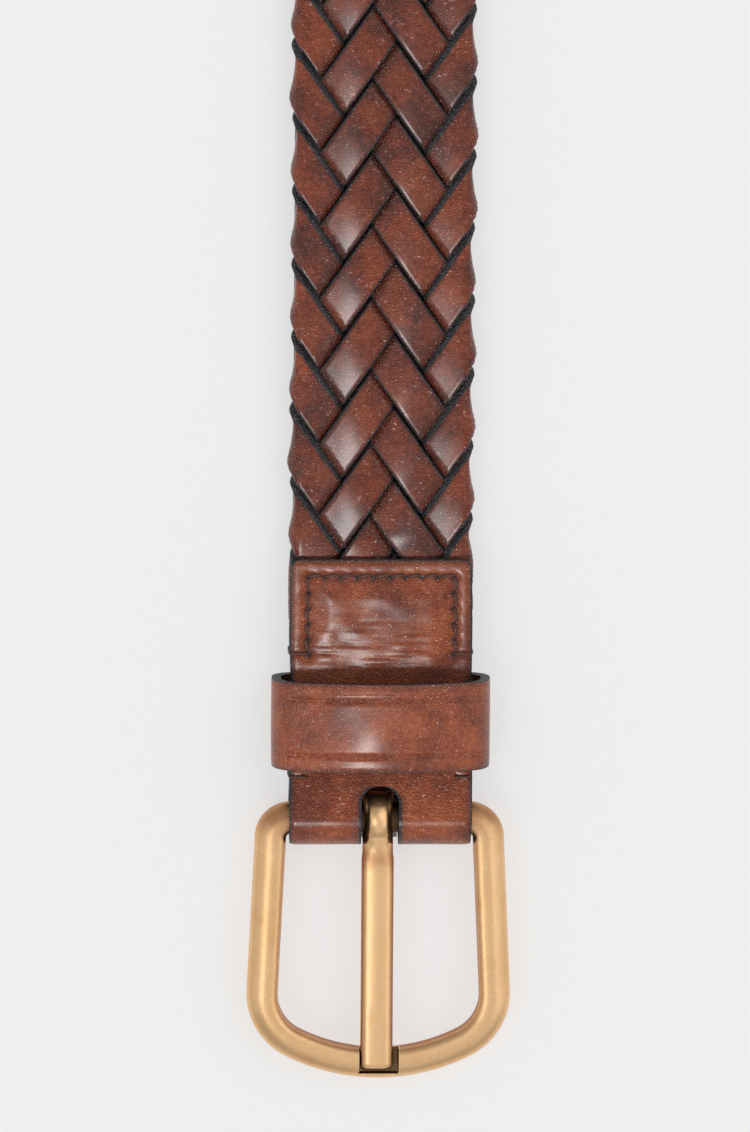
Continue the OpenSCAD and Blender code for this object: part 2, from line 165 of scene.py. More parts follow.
class Nodes:
    """A short way of writing a material's node tree."""

    def __init__(self, name):
        self.material = bpy.data.materials.new(name)
        self.material.use_nodes = True
        self.tree = self.material.node_tree
        self.tree.nodes.clear()
        self.out = self.add("ShaderNodeOutputMaterial")
        self.shader = self.add("ShaderNodeBsdfPrincipled")
        self.link(self.shader, "BSDF", self.out, "Surface")

    def add(self, kind, **values):
        node = self.tree.nodes.new(kind)
        for key, value in values.items():
            if key in node.inputs:
                node.inputs[key].default_value = value
            else:
                setattr(node, key, value)
        return node

    def link(self, a, a_socket, b, b_socket):
        self.tree.links.new(a.outputs[a_socket], b.inputs[b_socket])

    def coords(self, scale=(1, 1, 1), rotation=(0, 0, 0)):
        """Object coordinates in millimetres times scale."""
        source = self.add("ShaderNodeTexCoord")
        mapping = self.add("ShaderNodeMapping")
        mapping.inputs["Scale"].default_value = [s / MM for s in scale]
        mapping.inputs["Rotation"].default_value = rotation
        self.link(source, "Object", mapping, "Vector")
        return mapping, "Vector"

    def noise(self, at, scale=1.0, detail=3.0, rough=0.5, distortion=0.0):
        node = self.add("ShaderNodeTexNoise", Scale=scale, Detail=detail, Roughness=rough, Distortion=distortion)
        self.link(at[0], at[1], node, "Vector")
        return node, "Fac"

    def voronoi(self, at, scale=1.0, feature="F1"):
        node = self.add("ShaderNodeTexVoronoi", Scale=scale)
        node.feature = feature
        self.link(at[0], at[1], node, "Vector")
        return node, "Distance"

    def attribute(self, name):
        node = self.add("ShaderNodeAttribute")
        node.attribute_name = name
        return node, "Fac"

    def math(self, operation, a, b=None, clamp=False):
        node = self.add("ShaderNodeMath")
        node.operation = operation
        node.use_clamp = clamp
        for index, value in enumerate((a, b)):
            if value is None:
                continue
            if isinstance(value, tuple):
                self.tree.links.new(value[0].outputs[value[1]], node.inputs[index])
            else:
                node.inputs[index].default_value = value
        return node, "Value"

    def ramp(self, source, stops):
        """Maps a number through (position, colour or number) stops."""
        node = self.add("ShaderNodeValToRGB")
        elements = node.color_ramp.elements
        while len(elements) < len(stops):
            elements.new(0.5)
        for element, (position, value) in zip(elements, stops):
            element.position = position
            element.color = (*value, 1) if isinstance(value, (tuple, list)) else (value, value, value, 1)
        self.link(source[0], source[1], node, "Fac")
        return node, "Color"

    def mix(self, factor, a, b, mode="MIX"):
        node = self.add("ShaderNodeMix")
        node.data_type = "RGBA"
        node.blend_type = mode
        for index, value in ((0, factor), (6, a), (7, b)):
            socket = node.inputs[index]
            if isinstance(value, tuple) and isinstance(value[0], bpy.types.Node):
                self.tree.links.new(value[0].outputs[value[1]], socket)
            elif index == 0:
                socket.default_value = value
            else:
                socket.default_value = (*value, 1)
        return node, 2

    def to(self, source, socket):
        self.tree.links.new(source[0].outputs[source[1]], self.shader.inputs[socket])

    def bump(self, layers):
        """Stacks (height, strength, distance in mm) layers into the shader's normal."""
        before = None
        for height, strength, distance in layers:
            node = self.add("ShaderNodeBump", Strength=strength, Distance=distance * MM)
            self.link(height[0], height[1], node, "Height")
            if before:
                self.link(before, "Normal", node, "Normal")
            before = node
        self.link(before, "Normal", self.shader, "Normal")


def srgb(r, g, b):
    """A colour given in 0-255 display values, as the linear values that nodes take."""
    return tuple(((v / 255 + 0.055) / 1.055) ** 2.4 if v > 10 else v / 255 / 12.92 for v in (r, g, b))


EDGE_DARK, EDGE_WORN = srgb(40, 37, 40), srgb(104, 96, 96)
# Colour of burnished leather, also used as painted shade in creases, stitch holes and where laces pass under each
# other
BURNISH_AND_SHADE_COLOUR = srgb(58, 35, 31)


def leather(name, light, mid, dark, rough=0.42, grain=1.0, seed=0.0):
    """Waxed smooth leather. The attribute "edge" paints the cut edges. The other attribute darkens the leather:
    burnishing beside them, and painted shade in tooled creases, in stitch holes and where laces pass under each
    other."""
    n = Nodes(name)
    at = n.coords()
    at[0].inputs["Location"].default_value = (seed, seed * 0.37, seed * 0.71)
    clouds = n.noise(at, 0.11, 4, 0.55)
    mottle = n.noise(at, 0.9, 4, 0.6)
    fine = n.noise(at, 3.2, 3, 0.6)
    tone = n.math("ADD", n.math("MULTIPLY", clouds, 0.62), n.math("MULTIPLY", mottle, 0.28))
    tone = n.math("ADD", tone, n.math("MULTIPLY", fine, 0.10))
    base = n.ramp(tone, [(0.40, dark), (0.5, mid), (0.60, light)])
    # Burnishing by the cut edges, and painted shade in creases, holes and where laces pass under each other
    burnish_and_shade = n.attribute("burnish_and_shade")
    base = n.mix(n.math("MULTIPLY", burnish_and_shade, 0.60, clamp=True), base, BURNISH_AND_SHADE_COLOUR)
    edge = n.attribute("edge")
    worn = n.math("ADD", edge, n.math("MULTIPLY", n.math("SUBTRACT", fine, 0.5), 0.35))
    painted = n.ramp(worn, [(0.42, 0.0), (0.58, 1.0)])
    paint = n.ramp(fine, [(0.42, EDGE_DARK), (0.60, srgb(56, 52, 54)), (0.74, EDGE_WORN)])
    base = n.mix(painted, base, paint)
    n.to(base, "Base Color")
    roughness = n.math("ADD", n.math("MULTIPLY", mottle, 0.26), rough - 0.13)
    roughness = n.math("ADD", roughness, n.math("MULTIPLY", edge, 0.16), clamp=True)
    n.to(roughness, "Roughness")
    pores = n.voronoi(n.coords((1.0, 1.3, 1.2)), 1.35, "DISTANCE_TO_EDGE")
    pore_height = n.ramp(pores, [(0.0, 0.0), (0.34, 1.0)])
    wrinkle_at = n.coords((0.22, 1.5, 1.5), (0, 0, 0.12))
    wrinkles = n.noise(wrinkle_at, 1.0, 3, 0.55, 0.6)
    n.bump([
        (wrinkles, 0.60, 0.42),
        (mottle, 0.35, 0.40),
        (pore_height, grain, 0.22),
        (fine, 0.35, 0.09),
    ])
    n.shader.inputs["IOR"].default_value = 1.48
    n.shader.inputs["Specular IOR Level"].default_value = 0.42
    n.shader.inputs["Coat Weight"].default_value = 0.30
    n.shader.inputs["Coat Roughness"].default_value = 0.22
    return n.material


LACE_LIGHT, LACE_MID, LACE_DARK = srgb(142, 66, 36), srgb(118, 52, 32), srgb(84, 40, 31)
lace_leather = leather("lace_leather", LACE_LIGHT, LACE_MID, LACE_DARK, rough=0.28)


# ---- Plait -----------------------------------------------------------------------------------
# The plait is laid out flat first: U runs across the belt and round its edges, Y along it. A lace is a
# straight band there. At the edges it wraps round a half-cylinder from one layer to the other.

tab_low, tab_high = box_mm("tab_leather")
tip_low, tip_high = box_mm("tip_front")
lace_low, lace_high = box_mm("lace_1")

LACES = 7
PITCH = 14.2
LACE_W = 7.75
LACE_T = 1.8
LAYER_GAP = 0.1
BRAID_W = lace_high[0] - lace_low[0]
BRAID_Z = (lace_low[2] + lace_high[2]) / 2
BAR_Y = tab_high[1] - 51.2
TURN_R = (LACE_T + LAYER_GAP) / 2
FLAT_W = BRAID_W - 2 * TURN_R - LACE_T
QUARTER = math.pi * TURN_R / 2
CROSSING = FLAT_W + 2 * QUARTER
COLUMN = CROSSING / LACES
CLIMB = PITCH / 2 / COLUMN
NORM = math.hypot(1, CLIMB)
PHASE_Y = BAR_Y + 45.3
LACE_START = BAR_Y + 40
LACE_END = tip_low[1] + 9
RING_STEP = 0.33
ACROSS = 13


def lace_section():
    """Points round a lace's section: (across, thickness) with softly rounded edges."""
    hw, ht, r = LACE_W / 2, LACE_T / 2 - 0.04, 0.5
    top = [(x, ht) for x in np.linspace(hw - r, r - hw, ACROSS)]
    left = [(r - hw + r * math.cos(a), ht - r + r * math.sin(a)) for a in np.radians([120, 150, 175])]
    left += [(x, -y) for x, y in left[::-1]]
    bottom = [(x, -ht) for x in np.linspace(r - hw, hw - r, ACROSS)]
    right = [(-x, -abs(y)) for x, y in left[3:][::-1]] + [(-x, abs(y)) for x, y in left[:3][::-1]]
    points = np.array(top + left + bottom + right)
    crown = 0.10 * (1 - (points[:, 0] / hw) ** 2)
    points[:, 1] += np.sign(points[:, 1]) * crown
    return points


def layer_profile(l):
    """Height of a lace's middle, in turn radii, for a distance l across one crossing."""
    half = 0.62
    z = -np.ones_like(l)
    for step, sign in ((1.5, 1), (3.5, -1), (5.5, 1)):
        t = np.clip((l - step * COLUMN) / half, -1, 1)
        z += sign * (1 + np.sin(t * math.pi / 2))
    return z


def float_arch(l):
    """How far a lace bows out of its layer between the places where it dives."""
    arch = np.zeros_like(l)
    for a, b, sign, height in ((-0.2, 1.5, -1, 0.34), (1.5, 3.5, 1, 0.62), (3.5, 5.5, -1, 0.62), (5.5, 7.2, 1, 0.34)):
        t = np.clip((l - a * COLUMN) / ((b - a) * COLUMN), 0, 1)
        arch += sign * height * np.sin(math.pi * t) ** 1.3
    return arch


# How far a turn stands out or in, from its lower side (-1) to its cut upper side (1)
SCALLOP = ((-1.0, -0.86, -0.66, -0.45, -0.15, 0.25, 0.62, 0.80, 0.92, 1.0),
           (-1.05, -0.60, 0.25, 0.10, -0.45, -0.85, -0.95, -0.50, 0.15, 0.30))


def build_lace(k):
    section = lace_section()
    start = (LACE_START - PHASE_Y) / CLIMB + 2 * COLUMN * k
    end = (LACE_END - PHASE_Y) / CLIMB + 2 * COLUMN * k
    count = int((end - start) / RING_STEP) + 1
    along = np.linspace(start, end, count)[:, None]
    across = section[None, :, 0] + np.zeros_like(along)
    thick = section[None, :, 1] + np.zeros_like(along)
    hw = LACE_W / 2

    # Each turn shows the cut edge on its upper side as a dark bevel
    local = along - np.floor(along / CROSSING) * CROSSING
    near_turn = smooth(local, 4.9 * COLUMN, CROSSING - 1.2 * QUARTER) + smooth(local, 2.0 * COLUMN, 1.2 * QUARTER)
    way = 1 - 2 * (np.floor(along / CROSSING).astype(int) % 2)
    front = local > CROSSING / 2
    outward = np.where(front, way, -way)
    bevel = near_turn * smooth(section[None, :, 0], hw - 1.8, hw - 0.3)
    lean = 0.5 - outward * thick / LACE_T
    across = across + bevel * (1.75 * lean - 0.45)

    u = along - across * CLIMB / NORM
    y = CLIMB * along + across / NORM + PHASE_Y - 2 * COLUMN * k * CLIMB
    m = np.floor(u / CROSSING).astype(int)
    l = u - m * CROSSING
    l_eq = along + across * (1 - CLIMB**2) / (2 * CLIMB * NORM) - m * CROSSING
    way = 1 - 2 * (m % 2)

    fade = smooth(y, BAR_Y + 48, BAR_Y + 56) * smooth(y, tip_low[1] + 2, tip_low[1] - 6)
    seed = 100 + k
    wander = 0.18 * value_noise(along / 9.0, seed, 2) * fade
    share = np.clip(across / hw, -1, 1)
    z_mid = TURN_R * layer_profile(l_eq) + float_arch(l_eq) * fade
    turn_side = np.where(l > CROSSING / 2, 1, -1)
    turn_near = smooth(l, 5.2 * COLUMN, CROSSING) + smooth(l, 1.8 * COLUMN, 0)
    z_mid = z_mid - 0.30 * turn_side * share * turn_near * fade + 0.5 * wander * np.sign(z_mid)
    x = way * (l - CROSSING / 2)
    z = z_mid + way * thick

    # Turns round the belt's edges, with a scalloped outline
    bend = np.where(l < CROSSING / 2, (QUARTER - l) / TURN_R, (l - CROSSING + QUARTER) / TURN_R)
    turning = bend > 0
    side = np.where(l < CROSSING / 2, -way, way)
    level = np.where(l < CROSSING / 2, -1, 1)
    scallop = np.interp(share, SCALLOP[0], SCALLOP[1])
    scallop = scallop + 0.20 * value_noise(along / 17.0 + 40, seed + 50)
    bend = np.clip(bend, 0, math.pi / 2)
    r = TURN_R + level * way * thick
    swell = scallop * np.sin(bend) ** 1.5 * fade
    x = np.where(turning, side * (FLAT_W / 2 + r * np.sin(bend) + swell), x)
    base = z_mid - level * TURN_R
    z = np.where(turning, level * r * np.cos(bend) + base * np.cos(bend), z)
    pull = smooth(np.abs(x), FLAT_W / 2 - 5, FLAT_W / 2)
    x = np.where(turning, x, x + np.sign(x) * 0.25 * scallop * pull * fade)

    verts = np.stack([x, y + 0.6 * wander, z + BRAID_Z], axis=-1).reshape(-1, 3)
    obj = make_object(f"lace_{k + 1}_leather", verts, tube_faces(count, len(section)), [lace_leather])
    edge = smooth(np.abs(section[:, 0]), hw - 0.58, hw - 0.22)[None, :] + np.zeros_like(along)
    # Painted shade where the lace goes under its neighbours and along its edges in the gaps between laces, where it
    # also stands for burnishing; the noise along the lace is random tone
    dive_shade = np.zeros_like(l)
    for step in (1.5, 3.5, 5.5):
        dive_shade += bump(l_eq, step * COLUMN, 1.5)
    rim = smooth(np.abs(share), 0.66, 0.97)
    smoky = np.clip(value_noise(along / 11.0, seed + 20, 2), 0, 1)
    add_attribute(obj, "edge", edge)
    add_attribute(obj, "burnish_and_shade", np.clip(0.70 * dive_shade + 0.7 * rim + 0.55 * smoky, 0, 1.1))
    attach(obj, "strap")
    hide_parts(f"lace_{k + 1}")


for number in range(LACES):
    build_lace(number)


# ---- Solids from sheets ----------------------------------------------------------------------


def apply_modifiers(obj):
    """Puts the result of the object's modifiers into its mesh."""
    bpy.context.view_layer.update()
    graph = bpy.context.evaluated_depsgraph_get()
    mesh = bpy.data.meshes.new_from_object(obj.evaluated_get(graph), preserve_all_data_layers=True, depsgraph=graph)
    old = obj.data
    obj.modifiers.clear()
    obj.data = mesh
    bpy.data.meshes.remove(old)
    mesh.name = obj.name


def leather_sheet(name, patches, attributes, thickness, materials, rim_bevel, close=False):
    """A leather piece from grids of points (rows x columns x 3) that meet where their points coincide. It gets its
    thickness, a painted rim and softened arrises."""
    verts, faces, values = [], [], {key: [] for key in attributes[0]}
    base = 0
    for grid, extra in zip(patches, attributes):
        rows, cols = grid.shape[:2]
        i = np.arange(rows if close else rows - 1)[:, None]
        j = np.arange(cols - 1)[None, :]
        nxt = (i + 1) % rows
        quads = np.stack([i * cols + j, i * cols + j + 1, nxt * cols + j + 1, nxt * cols + j], axis=-1)
        faces += (quads.reshape(-1, 4) + base).tolist()
        verts.append(grid.reshape(-1, 3))
        for key in values:
            values[key].append(np.asarray(extra[key], float).ravel())
        base += rows * cols
    obj = make_object(name, np.concatenate(verts), faces, materials)
    for key, parts in values.items():
        add_attribute(obj, key, np.concatenate(parts))
    weld = obj.modifiers.new("weld", "WELD")
    weld.merge_threshold = 0.004 * MM
    apply_modifiers(obj)
    solid = obj.modifiers.new("thickness", "SOLIDIFY")
    solid.thickness = thickness * MM
    solid.offset = 0.0
    solid.use_even_offset = False
    solid.use_rim = True
    solid.material_offset_rim = 1
    arris = obj.modifiers.new("arris", "BEVEL")
    arris.width = rim_bevel * MM
    arris.segments = 3
    arris.limit_method = "ANGLE"
    arris.angle_limit = math.radians(50)
    arris.harden_normals = False
    apply_modifiers(obj)
    obj.data.shade_smooth()
    return obj


# ---- More materials --------------------------------------------------------------------------

TAB_LIGHT, TAB_MID, TAB_DARK = srgb(158, 82, 48), srgb(138, 66, 38), srgb(112, 52, 33)
tab_leather_look = leather("tab_leather_look", TAB_LIGHT, TAB_MID, TAB_DARK, rough=0.28, seed=3.1)
keeper_leather_look = leather("keeper_leather_look", TAB_LIGHT, TAB_MID, TAB_DARK, rough=0.26, grain=0.7, seed=5.7)
tip_leather_look = leather("tip_leather_look", TAB_LIGHT, TAB_MID, TAB_DARK, rough=0.30, seed=9.4)


def painted_edge(name):
    """Burnished edge dye: nearly black brown, slightly glossy and uneven."""
    n = Nodes(name)
    at = n.coords()
    fibre = n.noise(n.coords((1.2, 1.2, 3.5)), 1.0, 4, 0.6)
    patchy = n.noise(at, 0.7, 3)
    colour = n.ramp(n.math("ADD", n.math("MULTIPLY", fibre, 0.6), n.math("MULTIPLY", patchy, 0.4)),
                    [(0.35, srgb(26, 22, 23)), (0.55, srgb(44, 36, 36)), (0.72, srgb(74, 52, 46))])
    n.to(colour, "Base Color")
    n.to(n.ramp(fibre, [(0.3, 0.42), (0.7, 0.62)]), "Roughness")
    n.bump([(fibre, 0.5, 0.12), (patchy, 0.3, 0.2)])
    return n.material


edge_paint = painted_edge("edge_paint")


def thread_look(name):
    n = Nodes(name)
    at = n.coords()
    ply = n.noise(n.coords((6, 6, 6)), 1.0, 3, 0.6)
    n.to(n.ramp(ply, [(0.3, srgb(52, 27, 20)), (0.55, srgb(82, 44, 32)), (0.75, srgb(118, 70, 52))]), "Base Color")
    n.shader.inputs["Roughness"].default_value = 0.6
    n.shader.inputs["Sheen Weight"].default_value = 0.15
    n.bump([(ply, 0.5, 0.06)])
    return n.material


thread_material = thread_look("waxed_thread")


def brass_look(name, bright, mid, deep, rough=0.30):
    """Satin antique brass: brushed, with fine scratches; redder and darker in random spots and where the mesh
    attribute says, which holds tarnish and painted shade.
    """
    n = Nodes(name)
    at = n.coords()
    clouds = n.noise(at, 0.16, 4, 0.6)
    spots = n.noise(at, 1.4, 4, 0.65)
    brushed = n.noise(n.coords((7.0, 0.35, 7.0)), 1.0, 4, 0.6)
    cross = n.noise(n.coords((0.6, 6.0, 6.0), (0, 0, 0.5)), 1.0, 3, 0.5)
    patina_and_shade = n.attribute("patina_and_shade")
    tone = n.math("ADD", n.math("MULTIPLY", clouds, 0.65), n.math("MULTIPLY", spots, 0.35))
    colour = n.ramp(tone, [(0.34, mid), (0.52, bright), (0.75, bright)])
    aged_and_shaded = n.math("ADD", patina_and_shade, n.math("MULTIPLY", n.math("SUBTRACT", spots, 0.5), 0.5), clamp=True)
    colour = n.mix(n.math("MULTIPLY", aged_and_shaded, 0.85, clamp=True), colour, deep)
    n.to(colour, "Base Color")
    n.shader.inputs["Metallic"].default_value = 1.0
    gloss = n.math("ADD", n.math("MULTIPLY", brushed, 0.16), rough - 0.08)
    gloss = n.math("ADD", gloss, n.math("MULTIPLY", aged_and_shaded, 0.14), clamp=True)
    n.to(gloss, "Roughness")
    pits = n.voronoi(at, 1.1)
    pit_height = n.ramp(pits, [(0.03, 0.0), (0.09, 1.0)])
    n.bump([(clouds, 0.25, 0.5), (brushed, 0.14, 0.02), (cross, 0.10, 0.02), (pit_height, 0.10, 0.03)])
    return n.material


BRASS_BRIGHT, BRASS_MID, BRASS_DEEP = srgb(243, 201, 150), srgb(236, 188, 134), srgb(150, 78, 42)
brass = brass_look("antique_brass", BRASS_BRIGHT, BRASS_MID, BRASS_DEEP)
# A darker brass for painted shade in the prong's recess and on the bar where the slot shows it
shaded_brass = brass_look("brass_in_painted_shade", srgb(120, 92, 66), srgb(92, 68, 50), srgb(40, 28, 24), rough=0.42)

# ---- Buckle frame ----------------------------------------------------------------------------

BAR_Z = 5.35
BAR = np.array([0.0, BAR_Y, BAR_Z])
FRAME_W, FRAME_T, BAR_R = 6.1, 5.6, 3.0
HEEL_X, HEEL_C, CORNER_C, FRONT_C = 17.2, 4.0, 11.0, 36.5
FLARE = math.radians(2.7)
FRAME_REACH = 52.0
FRONT_CENTRE = -FRAME_REACH + FRONT_C + 3.0
# The recess for the prong's end: its sides, and the wall left in front of it
POCKET, POCKET_WALL = (-3.7, 4.0), 1.15
# The bar is painted in shade this far to each side of its middle, where the slot shows it
BAR_SHADE_X = 5.2


def frame_path():
    """Middle line of the frame as (x, y, outward x, outward y, is bar), anticlockwise from the front's middle."""
    gap = FRONT_C - CORNER_C
    side = np.array([HEEL_X + (HEEL_C - CORNER_C) * math.cos(FLARE),
                     -HEEL_C + (HEEL_C - CORNER_C) * math.sin(FLARE) - FRONT_CENTRE])
    meet = FLARE + math.asin((side[0] * math.cos(FLARE) + side[1] * math.sin(FLARE)) / gap)
    corner = (gap * math.sin(meet), FRONT_CENTRE - gap * math.cos(meet))
    points = []

    def arc(cx, cy, r, a, b, count):
        for t in np.linspace(a, b, count):
            points.append((cx + r * math.cos(t), cy + r * math.sin(t), math.cos(t), math.sin(t), 0.0))

    quarter = math.pi / 2
    arc(0, FRONT_CENTRE, FRONT_C, -quarter, -quarter + meet, 34)
    arc(corner[0], corner[1], CORNER_C, -quarter + meet, FLARE, 40)
    x0, y0 = points[-1][:2]
    x1, y1 = HEEL_X + HEEL_C * math.cos(FLARE), -HEEL_C + HEEL_C * math.sin(FLARE)
    for t in np.linspace(0, 1, 40)[1:-1]:
        points.append((x0 + (x1 - x0) * t, y0 + (y1 - y0) * t, math.cos(FLARE), math.sin(FLARE), 0.0))
    arc(HEEL_X, -HEEL_C, HEEL_C, FLARE, quarter, 24)
    for x in np.linspace(HEEL_X, 0, 14)[1:]:
        points.append((x, 0.0, 0.0, 1.0, float(smooth(x, HEEL_X - 0.2, HEEL_X - 1.4))))
    half = np.array(points)
    other = half[1:-1][::-1].copy()
    other[:, 0] *= -1
    other[:, 2] *= -1
    return np.concatenate([half, other])


def frame_section(count=44):
    """Outward and upward places of the rounded section, its crest moved towards the inside, then of the round bar."""
    a = np.linspace(0, 2 * math.pi, count, endpoint=False)
    c, s = np.cos(a), np.sin(a)
    out = FRAME_W / 2 * np.sign(c) * np.abs(c) ** 0.80
    up = FRAME_T / 2 * np.sign(s) * np.abs(s) ** 0.86
    high = np.clip(up / (FRAME_T / 2), 0, 1)
    out = out - 0.75 * high**2.2
    up = up - 0.16 * np.clip(out, 0, None) * high
    return out, up, BAR_R * c * 0.99, BAR_R * s * 0.99


def cut_with(obj, cutter):
    tool = obj.modifiers.new("cut", "BOOLEAN")
    tool.operation = "DIFFERENCE"
    tool.solver = "EXACT"
    tool.object = cutter
    apply_modifiers(obj)
    bpy.data.objects.remove(cutter)


def rounded_box(name, low, high, r):
    bpy.ops.mesh.primitive_cube_add(size=1)
    obj = bpy.context.object
    obj.name = name
    low, high = np.array(low), np.array(high)
    for v in obj.data.vertices:
        v.co = Vector((np.where(np.array(v.co) > 0, high, low) * MM).tolist())
    soft = obj.modifiers.new("soft", "BEVEL")
    soft.width = r * MM
    soft.segments = 4
    apply_modifiers(obj)
    return obj


def build_frame():
    path = frame_path()
    out, up, bar_out, bar_up = frame_section()
    is_bar = path[:, 4][:, None]
    o = out[None] * (1 - is_bar) + bar_out[None] * is_bar
    z = up[None] * (1 - is_bar) + bar_up[None] * is_bar
    x = path[:, 0][:, None] + path[:, 2][:, None] * o
    y = path[:, 1][:, None] + path[:, 3][:, None] * o
    verts = np.stack([x + BAR[0], y + BAR[1], z + BAR[2]], -1).reshape(-1, 3)
    faces = tube_faces(len(path), len(out), close_along=True)
    obj = make_object("buckle_frame_brass", verts, faces, [brass, shaded_brass])
    # Darker on the frame's inner side and towards its underside, and painted shade around the bar, where the leather
    # folds round it
    inner = smooth(-o, 1.5, 3.0) * (0.35 + 0.65 * smooth(z, 2.4, 0.2))
    heel_shade = bump(y, 1.5, 4.0) * 0.6
    add_attribute(obj, "patina_and_shade", np.clip(0.95 * inner + heel_shade + 0.1, 0, 1))
    front = BAR_Y - FRAME_REACH
    pocket_low = np.array((POCKET[0], front + POCKET_WALL, BAR_Z + 0.40))
    pocket_high = np.array((POCKET[1], front + 9, BAR_Z + 6))
    cut_with(obj, rounded_box("pocket", pocket_low, pocket_high, 0.35))
    # Painted shade: the recess's floor and walls and the middle of the bar get the darker brass
    for face in obj.data.polygons:
        c = np.array(face.center) / MM
        low, high = c - pocket_low, pocket_high - c
        inside = np.all(low > -0.02) and high[0] > -0.02 and high[1] > 0
        on_wall = min(low[0], low[1] - 0.05, low[2], high[0]) < 0.4
        if inside and on_wall and (face.normal.z > 0.98 or abs(face.normal.z) < 0.9):
            face.material_index = 1
        if abs(c[0]) < BAR_SHADE_X and abs(c[1] - BAR_Y) < 3.2:
            face.material_index = 1
    obj.data.shade_smooth()
    obj.data.set_sharp_from_angle(angle=math.radians(38))
    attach(obj, "buckle")
    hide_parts("buckle_frame")


build_frame()

# ---- Prong -----------------------------------------------------------------------------------

PRONG_X = -0.35
PRONG_W = 6.25
KNUCKLE_W = 5.9
EYE_R = 5.0
NOSE_R = 1.4
SHANK_UNDER = 0.45
SHANK_TOP = 3.25
PRONG_END = 49.9


def build_prong():
    """A loft along the prong: an eye round the bar, a knuckle, and a crowned shank with a flatter end."""
    # Across, as a share of the half width, and the drops below the top, in mm, of the crowned shank, the flat end
    # and the knuckle
    across, crowned, flat, round_drop = np.array([
        (0.0, 0.0, 0.0, 0.0), (0.30, 0.05, 0.02, 0.14), (0.52, 0.17, 0.07, 0.45), (0.63, 0.27, 0.14, 0.72),
        (0.72, 0.38, 0.28, 1.05), (0.90, 0.72, 0.62, 2.0), (0.965, 0.93, 0.80, 2.6), (1.0, 1.30, 1.10, 3.3),
    ]).T
    nose_start = -PRONG_END + NOSE_R
    stations = np.concatenate([
        EYE_R * np.cos(np.linspace(0.02, math.pi * 0.60, 30)),
        np.linspace(-1.8, -12, 44)[1:],
        np.linspace(-12, nose_start, 30)[1:],
        -PRONG_END + NOSE_R * (1 - np.sin(np.linspace(0, math.pi / 2, 9)))[1:],
    ])
    rings, patina_and_shade = [], []
    for y in stations:
        knuckle = float(smooth(y, -8.5, -3.5))
        disc = math.sqrt(max(EYE_R**2 - y**2, 0.0))
        blend = float(smooth(y, -6.4, -3.0))
        raised = max(SHANK_TOP + 0.55 * float(smooth(y, -9, -3)), disc)
        top = SHANK_TOP * (1 - blend) + raised * blend if y < -3 else disc
        under = SHANK_UNDER if y < -4.9 else (-disc if y > -3.6 else SHANK_UNDER - (y + 4.9) / 1.3 * 3.4)
        hw = PRONG_W / 2 + (KNUCKLE_W - PRONG_W) / 2 * float(smooth(y, -8.2, -6.4))
        end = float(smooth(y, nose_start, -PRONG_END))
        fall = NOSE_R * (1 - math.sqrt(max(1 - end**2, 0)))
        top -= 0.75 * fall
        hw -= 0.18 * fall
        height = max(top - under, 0.05)
        flatness = float(smooth(y, -35, -41))
        shank = flat * flatness + crowned * (1 - flatness)
        drop = shank * (1 - knuckle) + np.minimum(round_drop, 0.42 * height) * knuckle
        drop = np.minimum(drop, 0.6 * height)
        right = [(s * hw, top - d) for s, d in zip(across, drop)]
        low = min(height, 0.8)
        right += [(hw, under + 0.5 * low), (hw * 0.97, under + 0.2 * low), (hw * 0.88, under)]
        ring = right + [(0.0, under)] + [(-x, z) for x, z in right[1:][::-1]]
        rings.append([(PRONG_X + x, BAR_Y + y, BAR_Z + z) for x, z in ring])
        side = np.array([min(1.0, abs(x) / hw) for x, _ in ring])
        # Darker at the sides and at the knuckle's waist, and painted shade on the back of the eye, under the
        # leather's fold
        patina_and_shade.append(0.85 * smooth(side, 0.62, 0.96) + 0.45 * bump(y, -7.6, 2.0) + 0.3 * smooth(y, 1, 4))
    sides = len(rings[0])
    obj = make_object("prong_brass", np.array(rings).reshape(-1, 3), tube_faces(len(rings), sides), [brass])
    add_attribute(obj, "patina_and_shade", np.clip(patina_and_shade, 0, 1))
    bpy.ops.mesh.primitive_cylinder_add(vertices=64, radius=3.1 * MM, depth=12 * MM, rotation=(0, math.pi / 2, 0),
                                        location=(0, BAR_Y * MM, BAR_Z * MM))
    cut_with(obj, bpy.context.object)
    obj.data.shade_smooth()
    obj.data.set_sharp_from_angle(angle=math.radians(42))
    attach(obj, "prong")
    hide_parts("prong")


build_prong()

# ---- Buckle tab ------------------------------------------------------------------------------

TAB_W = tab_high[0] - tab_low[0]
TAB_L = 51.2
LEAF_T = 1.7
FRONT_Z = 5.5
SLOPE_END = 13.0
FOLD_R = LEAF_T / 2 + 3.65
SLOT_W, SLOT_END, BACK_SLOT_END = 7.3, 6.7, 4.4
SEAM_X = TAB_W / 2 - 3.1
SEAM_TOP = TAB_L - 3.1
SEAM_LOW = SEAM_TOP - 15.4
TACK_Y = 8.6
TAB_CORNER = 2.0
SLOT_ROUND = 3.4


def front_row(line):
    """Which point of the tab's line is the foremost one of the fold."""
    return int(np.argmin(line[:, 0]))


